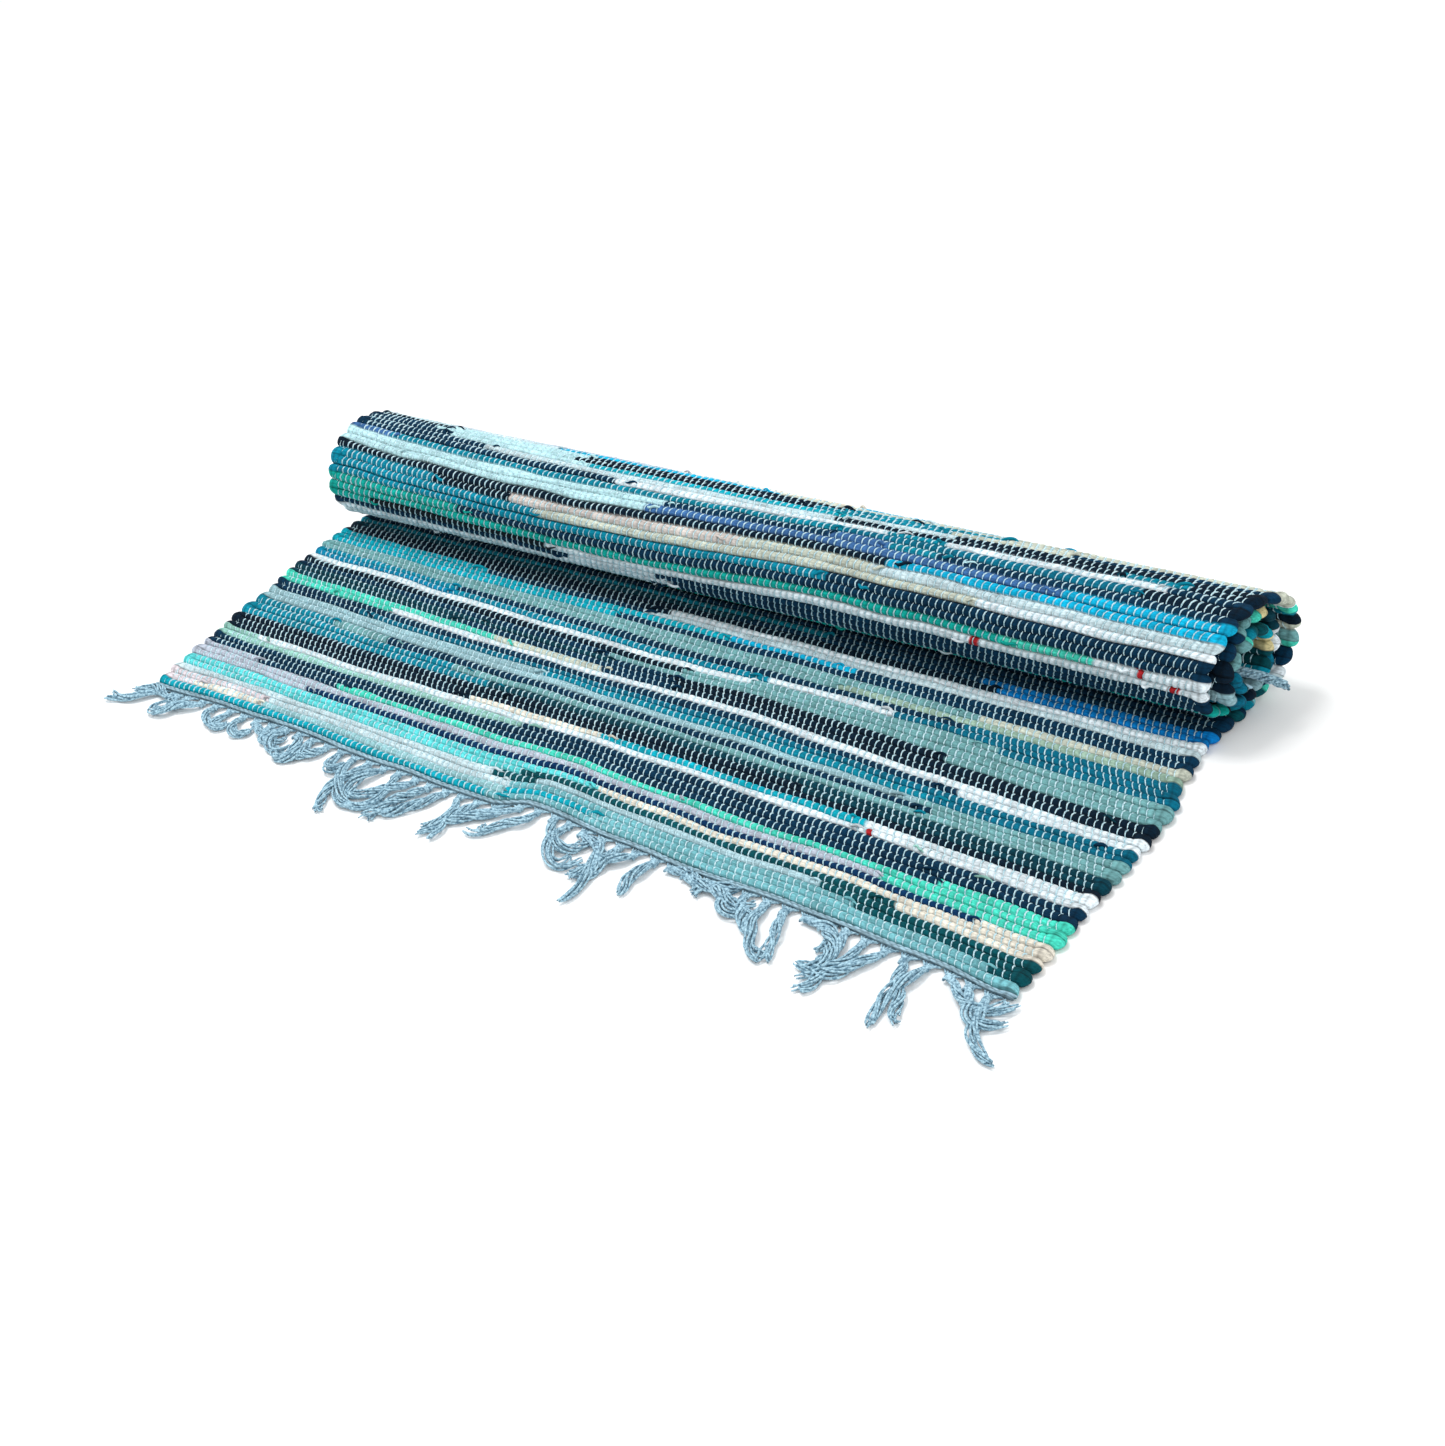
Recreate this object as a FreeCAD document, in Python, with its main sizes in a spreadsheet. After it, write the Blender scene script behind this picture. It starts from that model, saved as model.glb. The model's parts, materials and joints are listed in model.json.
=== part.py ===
"""Rag-rug bath mat, woven on a cotton warp, lying flat in front and rolled up at the back.

Frame: +X along the roll, from the left selvage to the right, +Y from the front edge towards
the roll, +Z up. The origin is on the underside, in the middle of the flat part. The flat part
lies slightly askew to the roll, as a mat does that was rolled by hand.
"""

import FreeCAD, Part

import math
import os

from FreeCAD import Placement, Rotation, Vector

# ---------------------------------------------------------------- driving dimensions, mm

SIZES = [
    ("weft_width", 600.0),       # selvage to selvage
    ("pick_pitch", 5.1),         # from one rag pick to the next
    ("cloth_height", 5.6),       # thickness of the woven cloth
    ("strip_gap", 0.5),          # between one flat strip and the next
    ("edge_round", 1.6),         # rounding of a flat strip's long top edges
    ("rolled_height", 5.2),      # thickness of a strip in the rolled part
    ("bend_gap", 1.3),           # between one rolled strip and the next
    ("bend_chamfer", 1.75),      # on a rolled strip's long edges, so that it can bend
    ("roll_yaw", 1.8),           # degrees between the flat part's weft and the roll
    ("fan_picks", 14.0),         # picks over which the weft turns to the roll's direction
    ("roll_height", 66.0),       # centreline of the cloth over the outer turn
    ("roll_back", 42.0),         # its reach behind the first hinge
    ("roll_front", 34.0),        # and in front of it
    ("step_bottom", 7.6),        # each turn further in is this much higher at its bottom,
    ("step_top", 8.2),           # lower at its top,
    ("step_back", 9.5),          # shallower behind
    ("step_front", 7.4),         # and shallower in front
    ("header_depth", 2.4),       # plain cotton weft that locks the rags at each end
    ("header_height", 2.4),
    ("header_round", 0.8),
    ("end_gap", 0.3),            # between header, knots and fringe
    ("knot_length", 4.0),        # overhand knots in the warp ends
    ("knot_radius", 1.7),
    ("knot_count", 50.0),
    ("fringe_length", 66.0),     # free tassel beyond its knot
    ("fringe_height", 3.2),
    ("curl_depth", 10.0),        # rear tassels, curled up inside the roll
    ("curl_height", 5.0),
    ("curl_lift", 0.8),          # middle of the curl above the cloth's centreline
]

# Strips of the flat part from the front edge back: colour word and number of picks.
FLAT_STRIPS = [
    ("seafoam", 3), ("cream_turquoise", 3), ("lavender_navy", 2), ("mint", 2),
    ("sage_white", 2), ("black_navy", 3), ("teal", 2), ("pale_blue", 2),
    ("dark_navy", 2), ("mint_white", 2), ("navy", 3), ("white_sage", 2),
    ("teal_blue", 2), ("beige_turquoise", 6), ("tuck_under", 8),
]
# Strips of the rolled part from the first hinge inwards: number of picks in each.
ROLL_STRIPS = [3] * 25 + [2] * 10

ACROSS = Rotation(Vector(1, 1, 1), -120)   # local X up, local Y along the weft, local Z back

doc = FreeCAD.newDocument("BathMat")
sheet = doc.addObject("Spreadsheet::Sheet", "Sizes")
for row, (alias, number) in enumerate(SIZES, start=1):
    sheet.set(f"A{row}", alias)
    sheet.set(f"B{row}", f"{number:g}")
    sheet.setAlias(f"B{row}", alias)
doc.recompute()
sub_parts = []


def size(alias):
    """A driving dimension, as the sheet holds it."""
    return float(getattr(sheet, alias))


PITCH = size("pick_pitch")
FLAT_PICKS = sum(picks for _, picks in FLAT_STRIPS)
FRONT_EDGE = -FLAT_PICKS * PITCH / 2
HINGE_Y = FLAT_PICKS * PITCH / 2
CENTRE_Z = size("cloth_height") / 2


def make(kind, name, **expressions):
    """A document object whose properties are tied to cells of the sheet."""
    thing = doc.addObject(kind, name)
    for prop, expression in expressions.items():
        thing.setExpression(prop, expression)
    return thing


def sub_part(thing, label, placement):
    """Names a finished sub-part and puts it in place."""
    thing.Label = label
    thing.Placement = placement
    sub_parts.append(thing)


def weft_bar(name, y, z, depth, height):
    """A bar over the whole width of the cloth: y of its near side, z of its middle, and the
    cells of the sheet that hold its depth along the cloth and its height across it."""
    bar = make("Part::Box", name, Length="Sizes.weft_width", Width=depth, Height=height)
    doc.recompute()
    bar.Placement.Base = Vector(-size("weft_width") / 2, y, z - bar.Height.Value / 2)
    return bar


def eased(kind, name, bar, amount):
    """A bar whose four long edges are rounded or chamfered."""
    doc.recompute()
    piece = doc.addObject(kind, name)
    piece.Base = bar
    half = size("weft_width") / 2
    piece.Edges = [
        (i, amount, amount) for i, edge in enumerate(bar.Shape.Edges, start=1)
        if edge.Length > half
    ]
    return piece


# ---------------------------------------------------------------- flat part


def flat_frame():
    """The flat part's own frame: it turns about the middle of the first hinge line."""
    pivot = Vector(0, HINGE_Y, 0)
    turn = Rotation(Vector(0, 0, 1), -size("roll_yaw"))
    return Placement(Vector(), turn, pivot)


def turned(pick):
    """How far the weft line behind this many picks has turned to the roll's direction, 0 to 1."""
    fan = size("fan_picks")
    return min(1.0, max(0.0, (pick - FLAT_PICKS + fan) / fan))


def flat_strip(number, colour, first, picks):
    """A slab between two weft lines, level underneath, with rounded long edges on top."""
    rise = "Sizes.weft_width / 2 * tan(Sizes.roll_yaw * 1 deg)"
    last = first + picks
    front = f"{FRONT_EDGE:g} + {first} * Sizes.pick_pitch + Sizes.strip_gap / 2"
    back = f"{FRONT_EDGE:g} + {last} * Sizes.pick_pitch - Sizes.strip_gap / 2"
    slab = make(
        "Part::Wedge", f"Slab{number:02d}",
        Ymin="-Sizes.weft_width / 2", Ymax="Sizes.weft_width / 2",
        Xmin="0", Xmax="Sizes.cloth_height", X2min="0", X2max="Sizes.cloth_height",
        Zmin=f"{front} - {turned(first):.6f} * {rise}",
        Zmax=f"{back} - {turned(last):.6f} * {rise}",
        Z2min=f"{front} + {turned(first):.6f} * {rise}",
        Z2max=f"{back} + {turned(last):.6f} * {rise}",
    )
    slab.Placement = Placement(Vector(), ACROSS)
    doc.recompute()
    long_top = [
        i for i, edge in enumerate(slab.Shape.Edges, start=1)
        if edge.Length > size("weft_width") / 2 and edge.CenterOfMass.z > CENTRE_Z
    ]
    strip = make("Part::Fillet", f"FlatStrip{number:02d}")
    strip.Base = slab
    strip.Edges = [(i, size("edge_round"), size("edge_round")) for i in long_top]
    sub_part(strip, f"flat_strip_{number:02d}_{colour}", flat_frame())


# ---------------------------------------------------------------- rolled part


def roll_point(turn):
    """Centreline of the rolled cloth, as (y, z) from the first hinge.

    turn counts half turns from the bottom. Each half is half an ellipse: even ones climb
    behind the hinge, odd ones come down in front of it, and each turn lies inside the last.
    """
    half = int(turn)
    layer = half // 2
    swing = math.pi * (turn - half)
    top = size("roll_height") - layer * size("step_top")
    if half % 2 == 0:
        bottom = layer * size("step_bottom")
        reach = size("roll_back") - layer * size("step_back")
        y, z = reach * math.sin(swing), -math.cos(swing)
    else:
        bottom = (layer + 1) * size("step_bottom")
        reach = size("roll_front") - layer * size("step_front")
        y, z = -reach * math.sin(swing), math.cos(swing)
    return y, (bottom + top) / 2 + z * (top - bottom) / 2


def next_turn(turn, chord):
    """The turn at which the centreline is this far, in a straight line, from the one at turn."""
    start = roll_point(turn)
    low, high = turn, turn + 1.0
    for _ in range(50):
        middle = (low + high) / 2
        if math.dist(start, roll_point(middle)) < chord:
            low = middle
        else:
            high = middle
    return (low + high) / 2


def roll_links():
    """Lengths along the cloth between its bend lines: strips, rear edge, rear tassels."""
    strips = [picks * PITCH for picks in ROLL_STRIPS]
    edge = size("header_depth") + size("end_gap") + size("knot_length")
    return strips + [edge + size("bend_gap"), size("curl_depth") + size("bend_gap")]


def roll_placements():
    """Placement of each link of the roll, with the line that it bends about at its origin."""
    places = []
    turn = 0.0
    for length in roll_links():
        start = roll_point(turn)
        turn = next_turn(turn, length)
        end = roll_point(turn)
        slope = math.degrees(math.atan2(end[1] - start[1], end[0] - start[0]))
        places.append(on_roll(start, slope))
    return places


def on_roll(point, slope):
    """Placement of a link that starts at this point and climbs at this slope, in degrees."""
    y, z = point
    return Placement(Vector(0, HINGE_Y + y, CENTRE_Z + z), Rotation(Vector(1, 0, 0), slope))


def roll_strip(number, picks, placement):
    """A chamfered bar with the line that it bends about at the local origin."""
    gap = size("bend_gap") / 2
    depth = f"{picks} * Sizes.pick_pitch - Sizes.bend_gap"
    bar = weft_bar(f"RollBar{number:02d}", gap, 0, depth, "Sizes.rolled_height")
    strip = eased("Part::Chamfer", f"RollStrip{number:02d}", bar, size("bend_chamfer"))
    sub_part(strip, f"roll_strip_{number:02d}", placement)


# ---------------------------------------------------------------- ends of the warp


def header(end, y, z, placement):
    """The woven cotton header of one end, with its near side at y and its middle at z."""
    bar = weft_bar(f"{end}_bar", y, z, "Sizes.header_depth", "Sizes.header_height")
    piece = eased("Part::Fillet", f"{end}_rounded", bar, size("header_round"))
    sub_part(piece, f"{end}_header", placement)


def knots(end, y, z, placement):
    """A row of separate knots along the weft, with their near sides at y."""
    count = int(size("knot_count"))
    step = size("weft_width") / count
    row = [
        Part.makeCylinder(
            size("knot_radius"), size("knot_length"),
            Vector((i + 0.5) * step - size("weft_width") / 2, y, z), Vector(0, 1, 0),
        )
        for i in range(count)
    ]
    piece = doc.addObject("Part::Feature", f"{end}_row")
    piece.Shape = Part.makeCompound(row)
    sub_part(piece, f"{end}_knots", placement)


def front_end():
    """Header, knots and a fringe lying flat on the floor in front of the woven edge."""
    y = FRONT_EDGE - size("header_depth")
    header("front", y, size("header_height") / 2, flat_frame())
    y -= size("end_gap") + size("knot_length")
    knots("front", y, size("knot_radius"), flat_frame())
    y -= size("end_gap") + size("fringe_length")
    middle = size("fringe_height") / 2
    bar = weft_bar("front_tassels", y, middle, "Sizes.fringe_length", "Sizes.fringe_height")
    piece = eased("Part::Fillet", "front_tassels_rounded", bar, size("header_round"))
    sub_part(piece, "front_fringe", flat_frame())


def rear_end(edge_place, fringe_place):
    """Header and knots on one link, and the curled tassels on the last, inside the roll."""
    y = size("bend_gap") / 2
    header("rear", y, 0, edge_place)
    knots("rear", y + size("header_depth") + size("end_gap"), 0, edge_place)
    lift = size("curl_lift")
    bar = weft_bar("rear_tassels", y, lift, "Sizes.curl_depth", "Sizes.curl_height")
    piece = eased("Part::Chamfer", "rear_tassels_eased", bar, size("curl_height") / 3)
    sub_part(piece, "rear_fringe", fringe_place)


# ---------------------------------------------------------------- the mat


def build():
    front_end()
    first = 0
    for number, (colour, picks) in enumerate(FLAT_STRIPS, start=1):
        flat_strip(number, colour, first, picks)
        first += picks
    places = roll_placements()
    for number, picks in enumerate(ROLL_STRIPS, start=1):
        roll_strip(number, picks, places[number - 1])
    rear_end(places[-2], places[-1])


def check():
    """Stops on any object that failed to compute and on any sub-part that is no sound solid."""
    doc.recompute()
    for thing in doc.Objects:
        if "Invalid" in thing.State or "Error" in thing.State:
            raise RuntimeError(f"{thing.Name} failed: {thing.State}")
    for thing in sub_parts:
        if thing.Shape.isNull() or not thing.Shape.isValid() or not thing.Shape.Solids:
            raise RuntimeError(f"{thing.Label} is no sound solid")


build()
check()
os.makedirs("parts", exist_ok=True)
for part in sub_parts:
    part.Shape.exportStep(f"parts/{part.Label}.step")
print(len(sub_parts), "sub-parts written")
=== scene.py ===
"""Looks of the rag-rug bath mat: rag picks bound by a cotton warp, with tassels at both ends.

Everything is in metres, in the frame of the CAD model: X along the roll, Y from the front edge
towards it, Z up. A strip of picks is one closed, scalloped sheet of cloth, and the floats of
the warp over it are a piece of their own.
"""

import json
import math

import bpy
import numpy as np
from mathutils import Matrix, Vector


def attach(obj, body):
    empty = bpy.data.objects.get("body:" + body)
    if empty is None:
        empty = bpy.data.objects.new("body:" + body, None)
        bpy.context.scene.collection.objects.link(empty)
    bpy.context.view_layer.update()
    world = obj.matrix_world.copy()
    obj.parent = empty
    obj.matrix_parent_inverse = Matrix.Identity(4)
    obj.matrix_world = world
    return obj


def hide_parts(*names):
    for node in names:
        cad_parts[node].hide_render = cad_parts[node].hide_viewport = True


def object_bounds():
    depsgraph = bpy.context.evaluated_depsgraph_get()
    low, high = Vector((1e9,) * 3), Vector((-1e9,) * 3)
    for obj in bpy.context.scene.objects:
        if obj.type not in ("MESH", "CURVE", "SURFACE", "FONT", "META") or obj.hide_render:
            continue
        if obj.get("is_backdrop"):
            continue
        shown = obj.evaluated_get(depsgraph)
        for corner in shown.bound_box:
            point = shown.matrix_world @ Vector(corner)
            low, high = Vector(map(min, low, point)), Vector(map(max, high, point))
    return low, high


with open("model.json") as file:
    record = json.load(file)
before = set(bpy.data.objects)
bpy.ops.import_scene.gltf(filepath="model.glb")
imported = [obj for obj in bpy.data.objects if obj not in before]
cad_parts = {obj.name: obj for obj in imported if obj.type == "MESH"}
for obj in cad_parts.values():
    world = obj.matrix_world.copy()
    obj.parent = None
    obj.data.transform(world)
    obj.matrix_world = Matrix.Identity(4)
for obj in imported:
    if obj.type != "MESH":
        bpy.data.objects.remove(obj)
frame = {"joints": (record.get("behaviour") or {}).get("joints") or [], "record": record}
cad_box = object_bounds()
joints = frame["joints"]
bodies = frame["record"]["behaviour"]["bodies"]

# ---------------------------------------------------------------- sizes

WIDTH = 0.600                # selvage to selvage
PITCH = 0.0051               # from one pick to the next
FLAT_PICKS = 44
ROLL_STRIPS = 35
THICK_STRIPS = 25            # the first strips of the roll have three picks, the rest two
ROLL_PICKS = 3 * THICK_STRIPS + 2 * (ROLL_STRIPS - THICK_STRIPS)
PICKS = FLAT_PICKS + ROLL_PICKS
FAN_PICKS = 14               # picks over which the weft turns to the roll's direction
YAW = math.radians(1.8)      # the flat part lies this much askew to the roll
HINGE = joints[0]["pos_m"]   # middle of the first bend line
ENDS = 141                   # floats of the warp over each pick
DASH = WIDTH / ENDS          # from one float to the next
HEADER = 0.0026              # depth of the fine weft that ends the cloth
RINGS = 3                    # rings of the rag's surface per float
TURN_RINGS = 4               # rings of a knuckle beyond each selvage
HALF = 0.0026                # half the thickness of the cloth over a pick
ROLL_HALF = HALF - 0.0001    # the same in the roll
PATH_END = 0.0113            # how far the roll's path runs on past the last bend line
BOW = 0.55                   # a strip bows out by this share of a round arc's height

# ---------------------------------------------------------------- colours

RAGS = {                     # the rags' own colours in sRGB, set until the render came near the photo
    "turquoise": (0.08, 0.63, 0.70), "aqua": (0.42, 0.82, 0.83), "seafoam": (0.48, 0.70, 0.73),
    "cream": (0.93, 0.91, 0.86), "pinkish": (0.86, 0.83, 0.85), "blush": (0.82, 0.79, 0.77),
    "teal_grey": (0.60, 0.76, 0.78), "pearl": (0.80, 0.87, 0.89), "mist": (0.70, 0.81, 0.84),
    "dark_green": (0.01, 0.29, 0.32), "lavender": (0.73, 0.76, 0.81), "navy": (0.00, 0.18, 0.27),
    "ink": (0.01, 0.10, 0.16), "royal": (0.02, 0.19, 0.33), "mint": (0.33, 0.80, 0.72),
    "sage_mint": (0.62, 0.80, 0.76), "white": (0.91, 0.95, 0.97), "teal": (0.01, 0.48, 0.56),
    "sage": (0.46, 0.64, 0.65), "pale_blue": (0.61, 0.74, 0.77), "petrol": (0.00, 0.22, 0.27),
    "blue": (0.03, 0.50, 0.63), "deep_teal": (0.00, 0.39, 0.48), "beige": (0.78, 0.80, 0.75),
    "olive": (0.60, 0.70, 0.64), "emerald": (0.10, 0.62, 0.58), "sky": (0.10, 0.66, 0.80),
    "purple": (0.27, 0.42, 0.60), "cobalt": (0.02, 0.48, 0.74), "charcoal": (0.05, 0.10, 0.13),
    "ice": (0.76, 0.90, 0.92), "straw": (0.88, 0.84, 0.66), "blue_teal": (0.02, 0.50, 0.59),
    "yarn": (0.64, 0.75, 0.80), "red": (0.66, 0.18, 0.20),
}
RICHNESS = 1.18              # how much more colour a lit rag needs than it shows

# The rags in each pick of the flat part, front to back: colour, the percentage of the width
# where it ends, the next colour.
FLAT_PLAN = [
    "turquoise 46 seafoam",
    "pinkish 4 cream 14 teal_grey 46 turquoise 56 seafoam 97 dark_green",
    "pinkish 14 pearl 46 seafoam 84 dark_green",
    "pearl 43 dark_green 48 mist 80 dark_green",
    "aqua 46 dark_green 86 cream",
    "aqua 53 cream",
    "lavender 17 royal 94 cream",
    "lavender 83 mint",
    "lavender 9 navy 20 mint",
    "navy 88 mint",
    "navy",
    "sage_mint 42 navy",
    "sage_mint 6 white 79 red 79.6 white",
    "ink 33 cream 50 turquoise 77 white",
    "ink",
    "ink 70 petrol",
    "teal 35 petrol",
    "teal 30 sage",
    "teal 12 sage 20 navy 82 sage",
    "pale_blue 80 sage",
    "pale_blue 38 teal 82 deep_teal",
    "navy 13 deep_teal",
    "navy 82 white",
    "mint 15 white",
    "mint 31 beige 44 navy 52 ink",
    "petrol 24 navy 50 ink",
    "petrol 42 navy 50 ink 80 sage",
    "navy 42 sage",
    "ink 50 sage",
    "white 58 sage 82 deep_teal",
    "blue 20 blue_teal 58 white 72 deep_teal",
    "blue_teal 20 navy 78 deep_teal",
    "sage 66 olive",
    "sage 78 beige",
    "turquoise 38 navy",
    "turquoise 50 sky 64 navy",
    "turquoise 20 navy 42 pearl",
    "ink 42 white",
    "ink 78 cobalt",
    "petrol 50 navy 76 cobalt",
    "teal 60 navy",
    "navy",
    "dark_green 50 navy",
    "dark_green",
]
# The same for the first picks of the roll, from the first bend line on: under it, up its back,
# over the top and down its front.
ROLL_PLAN = [
    "navy", "petrol 40 teal", "teal 70 seafoam", "mint 55 dark_green", "mint", "white 30 pearl",
    "white", "dark_green 60 navy", "navy", "sage 45 mint", "sage", "pale_blue 60 beige",
    "teal 30 ink", "teal", "emerald 40 mint",
    "lavender 30 beige 88 white",
    "pearl 45 beige",
    "lavender 40 cream 60 sky 80 beige",
    "pearl 24 sky 50 beige",
    "ink 12 ice 30 ink 60 teal 75 beige",
    "navy 10 ice 28 ink 55 teal 70 beige 82 navy",
    "navy 12 ice 30 turquoise 60 pearl 72 ink",
    "navy 18 pearl 60 ink 88 teal 93 ink",
    "navy 36 white 66 teal 71 white 92 navy",
    "purple 6 teal 60 deep_teal 90 ink",
    "ice 42 navy 60 purple 66 teal 72 navy",
    "ice 8 ice 40 purple 84 sky",
    "ink 68 sky",
    "blue_teal 15 ink 23 blush 50 beige 66 pearl",
    "blue_teal 28 beige 76 white",
    "blue_teal 60 navy",
    "emerald 18 navy",
    "emerald 80 mint 88 white 92 red 94 white",
    "emerald 6 charcoal 28 white 76.5 red 77.5 white 95 red 97 white",
    "navy 30 white 42 navy",
    "white 44 navy",
    "pearl 40 navy",
    "white 12 navy 40 emerald",
    "pearl 14 emerald 60 seafoam",
    "dark_green 30 emerald",
    "ink", "dark_green 60 teal",
]
INNER = [                    # what the picks further in are drawn from: rag colours weighted to dark ones, partly as painted shade for the hollow of the roll
    "teal", "mint", "deep_teal", "navy", "white", "straw", "dark_green", "sage", "navy",
    "pearl", "turquoise", "ink", "ink", "pale_blue", "lavender", "petrol",
]

# How far the picks stray from straight lines, in picks: rows at these picks, columns at these
# percentages of the width.
STRAY_X = [0, 10, 20, 30, 40, 46, 50, 60, 70, 80, 90, 100]
STRAY = {
    0: [-0.3, 0.5, 0.6, 0.2, -0.1, 0.1, 1.7, 0.8, 0.4, 0.5, -0.1, -1.1],
    5: [0.1, 0.2, 0.1, 0.1, 0.1, 0.5, 1.0, 0.5, 0.0, 0.1, -0.4, -1.1],
    9: [0.0, 0.1, 0.0, 0.1, 0.3, 0.6, 0.7, 0.1, -0.2, -0.1, -0.6, -1.0],
    12: [-0.3, -0.3, -0.3, -0.1, 0.2, 0.5, 0.6, 0.4, 0.2, 0.1, -0.3, -0.8],
    15: [-0.5, -0.5, -0.6, -0.4, 0.1, 0.2, 0.2, 0.2, 0.1, 0.0, -0.3, -0.6],
    20: [0.5, 0.5, 0.2, 0.1, 0.5, 0.4, 0.2, 0.3, 0.0, -0.5, -0.8, -1.0],
    24: [0.3, 0.3, 0.1, -0.2, -0.1, 0.0, 0.3, 0.7, 0.0, -0.6, -1.0, -1.3],
    29: [0.0, 0.0, -0.3, -0.5, -0.5, -0.7, -0.6, 0.1, 0.4, 0.4, 0.0, -0.3],
    34: [0.0, 0.0, -0.2, -0.2, 0.0, 0.1, 0.0, 0.2, 0.2, 0.1, 0.0, 0.0],
    44: [0.0] * 12,
    56: [0.2, -0.2, 0.1, 0.3, -0.2, -0.3, -0.1, 0.2, 0.3, -0.1, -0.3, 0.1],
    64: [-1.0, -0.2, 0.3, 0.6, 0.6, 0.6, 0.6, 0.4, 0.0, -0.4, -0.7, -0.9],
    71: [-0.6, 0.1, 0.5, 0.5, 0.3, 0.1, -0.2, -0.6, -0.5, -0.2, -0.1, 0.1],
    77: [-0.3, 0.0, 0.3, 0.6, 0.5, 0.2, -0.1, -0.6, -0.5, -0.2, 0.0, 0.0],
    84: [0.0] * 12,
}


def linear(colour):
    """An sRGB colour as linear light."""
    c = np.asarray(colour, float)
    c = np.clip(c.mean() + (c - c.mean()) * RICHNESS, 0, 1)
    return np.where(c < 0.04045, c / 12.92, ((c + 0.055) / 1.055) ** 2.4)


def runs(plan):
    """A pick's plan as [(colour word, fraction of the width where it ends)]."""
    words = plan.split() + ["100"]
    return [(words[i], float(words[i + 1]) / 100) for i in range(0, len(words), 2)]


def inner_plans(count, rng):
    """Plans for the picks inside the roll: a few picks of a colour, then the next."""
    plans = []
    while len(plans) < count:
        first, second = rng.choice(INNER, 2, replace=False)
        split = int(rng.integers(15, 85))
        for _ in range(int(rng.integers(1, 4))):
            plans.append(f"{first} {split + int(rng.integers(-12, 12))} {second}")
    return plans[:count]


def smooth_noise(x, step, rng):
    """Smooth random values between -1 and 1 along x, changing every step."""
    low = x.min()
    knots = rng.uniform(-1, 1, int((x.max() - low) / step) + 3)
    at = (x - low) / step
    i = at.astype(int)
    t = at - i
    t = t * t * (3 - 2 * t)
    return knots[i] * (1 - t) + knots[i + 1] * t


# ---------------------------------------------------------------- where the cloth lies

WAVER_COLUMNS = 26
WAVER = 0.0008 * np.random.default_rng(5).uniform(-1, 1, (PICKS + 2, WAVER_COLUMNS))


def waver(x, pick):
    """How far the line between two picks wanders, in metres: picks swell and thin out."""
    row = np.clip(pick, 0, PICKS)
    column = np.clip((x / WIDTH + 0.55) * 22, 0, WAVER_COLUMNS - 2)
    i, j = row.astype(int), column.astype(int)
    s, t = row - i, column - j
    t = t * t * (3 - 2 * t)
    near = WAVER[i, j] * (1 - t) + WAVER[i, j + 1] * t
    far = WAVER[i + 1, j] * (1 - t) + WAVER[i + 1, j + 1] * t
    return near * (1 - s) + far * s


def stray(x, pick):
    """How far the cloth strays at x and at this pick, in picks."""
    rows = sorted(STRAY)
    across = np.clip((x / WIDTH + 0.5) * 100, 0, 100)
    table = np.array([eased_interp(across, STRAY_X, STRAY[row]) for row in rows])
    flat_pick = np.clip(pick, rows[0], rows[-1] - 1e-6).ravel()
    i = np.searchsorted(rows, flat_pick, side="right") - 1
    edges = np.array(rows, float)
    t = (flat_pick - edges[i]) / (edges[i + 1] - edges[i])
    t = t * t * (3 - 2 * t)
    table = table.reshape(len(rows), -1)
    column = np.arange(table.shape[1])
    return (table[i, column] * (1 - t) + table[i + 1, column] * t).reshape(x.shape)


def eased_interp(x, xs, values):
    """Interpolation that leaves each station level, so that nothing has a kink."""
    xs = np.asarray(xs, float)
    values = np.asarray(values, float)
    i = np.clip(np.searchsorted(xs, x, side="right") - 1, 0, len(xs) - 2)
    t = np.clip((x - xs[i]) / (xs[i + 1] - xs[i]), 0, 1)
    t = t * t * (3 - 2 * t)
    return values[i] * (1 - t) + values[i + 1] * t


# How far the left selvage, and then the right one, lies to the right of its place at these picks.
LEFT_PICKS = [0, 10, 20, 28, 36, 44, 87, 120, 139]
LEFT = [0.007, 0.000, -0.008, -0.015, -0.018, -0.015, -0.014, -0.006, 0.0]
RIGHT_PICKS = [0, 20, 25, 29, 33, 40, 46, 53, 62, 70, 76, 83, 92, 139]
RIGHT = [0.0, 0.001, 0.002, 0.0, -0.007, -0.010, -0.006, 0.005, 0.006, -0.003, -0.010, -0.011,
         -0.002, 0.0]


def flared(x, pick):
    """x with the selvages let out or drawn in, which fades away towards the middle."""
    left = np.clip(0.5 - x / WIDTH, 0, 1) ** 2
    right = np.clip(x / WIDTH * 2, 0, 1) ** 3
    return (
        x + eased_interp(pick, LEFT_PICKS, LEFT) * left
        + eased_interp(pick, RIGHT_PICKS, RIGHT) * right
    )


def flat_place(x, along, high):
    """Points of the flat part: x, metres behind the front edge, metres above mid-thickness."""
    pick = along / PITCH
    along = along + waver(x, pick)
    turned = np.clip((pick - FLAT_PICKS + FAN_PICKS) / FAN_PICKS, 0, 1)
    y = along - FLAT_PICKS * PITCH + stray(x, pick) * PITCH + x * math.tan(YAW) * turned
    cos, sin = math.cos(YAW), math.sin(YAW)
    x = flared(x, pick)
    wave = 0.0004 * np.sin(x * 21 + 1) * np.sin(pick * 0.31)
    return np.stack(
        [cos * x + sin * y, HINGE[1] - sin * x + cos * y, HINGE[2] + high + np.abs(wave)], -1
    )


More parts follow.
